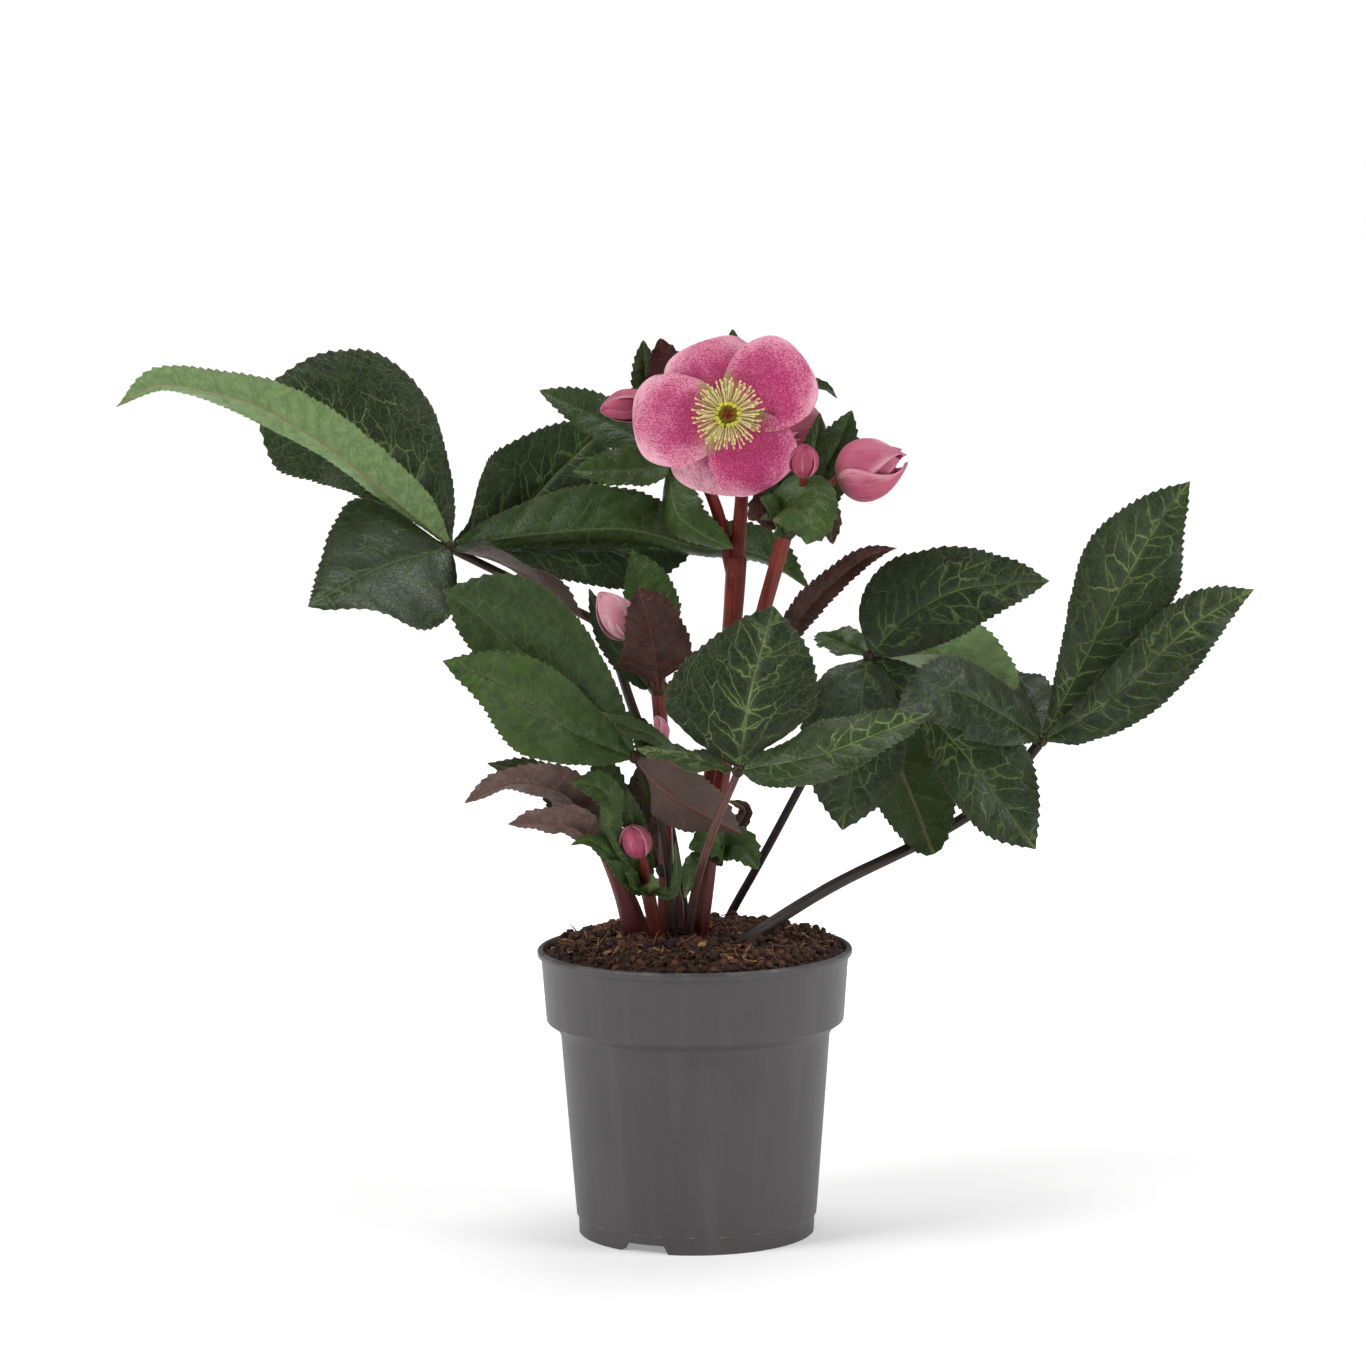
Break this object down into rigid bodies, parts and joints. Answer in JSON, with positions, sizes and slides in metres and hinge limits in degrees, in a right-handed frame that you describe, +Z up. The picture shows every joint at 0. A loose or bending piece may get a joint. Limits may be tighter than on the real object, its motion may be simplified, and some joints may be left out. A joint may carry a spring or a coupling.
{
  "type": "potted hellebore plant",
  "caption": "Flowering hellebore with speckled pink bloom, buds, marbled palmate leaves and red stems, in a round tapered grey plastic pot filled with growing mix.",
  "frame": {"origin": "on the pot's axis at the floor, under the middle of the whole plant", "axes": "+Z up, the open bloom looks along -Y, the widest spread of leaves runs along X"},
  "size_m": [0.6112, 0.2512, 0.4861],
  "materials": {
    "brown_stalk": "brown, satin",
    "carpel_red": "brown red, satin",
    "crown_sheath": "brown red, dry",
    "dark_leaf": "leathery, satin, pale veins",
    "dark_red_bract": "dark red, satin",
    "dark_stalk": "dark brown, satin",
    "deep_pink_bud": "deep pink, soft",
    "green_bract": "green, satin",
    "growing_mix": "crumbly peat and bark, matt",
    "mid_leaf": "leathery, satin, fine veins",
    "nectary_yellow": "yellow, satin",
    "pale_pink_bud": "pale pink, soft",
    "pink_sepal": "pink with magenta speckles, soft",
    "pot_plastic": "satin grey, fine grain",
    "purple_bract": "grey purple underside, matt",
    "red_stem": "red, satin",
    "stamen_cream": "cream, powdery"
  },
  "bodies": {
    "root": {"back_bloom": "pink_sepal", "bloom_carpels": "carpel_red", "bloom_nectaries": "nectary_yellow", "bloom_sepals": "pink_sepal", "bloom_stamens": "stamen_cream", "bract_dark_right": "dark_red_bract", "bracts_centre": "dark_red_bract", "bracts_far_left": "green_bract", "bracts_left_bud": "dark_red_bract", "bracts_low": "green_bract", "bracts_low_left": "purple_bract", "bracts_low_mid": "green_bract", "bracts_low_right": "green_bract", "bracts_mid": "dark_red_bract", "bracts_right": "green_bract", "bracts_top": "green_bract", "bud_left": "deep_pink_bud", "bud_low": "pale_pink_bud", "bud_mid": "pale_pink_bud", "bud_red": "deep_pink_bud", "bud_rose": "deep_pink_bud", "bud_tiny": "pale_pink_bud", "crown_sheath": "crown_sheath", "growing_mix": "growing_mix", "leaf_back": "dark_leaf", "leaf_front": "dark_leaf", "leaf_green": "mid_leaf", "leaf_left": "dark_leaf", "leaf_right": "dark_leaf", "pot": "pot_plastic", "shoot_low": "red_stem", "stalk_back": "dark_stalk", "stalk_front": "brown_stalk", "stalk_green": "dark_stalk", "stalk_left": "dark_stalk", "stalk_right": "dark_stalk", "stem_low": "red_stem", "stem_mid": "red_stem", "stem_right": "red_stem", "stem_tall": "red_stem"}
  },
  "joints": []
}
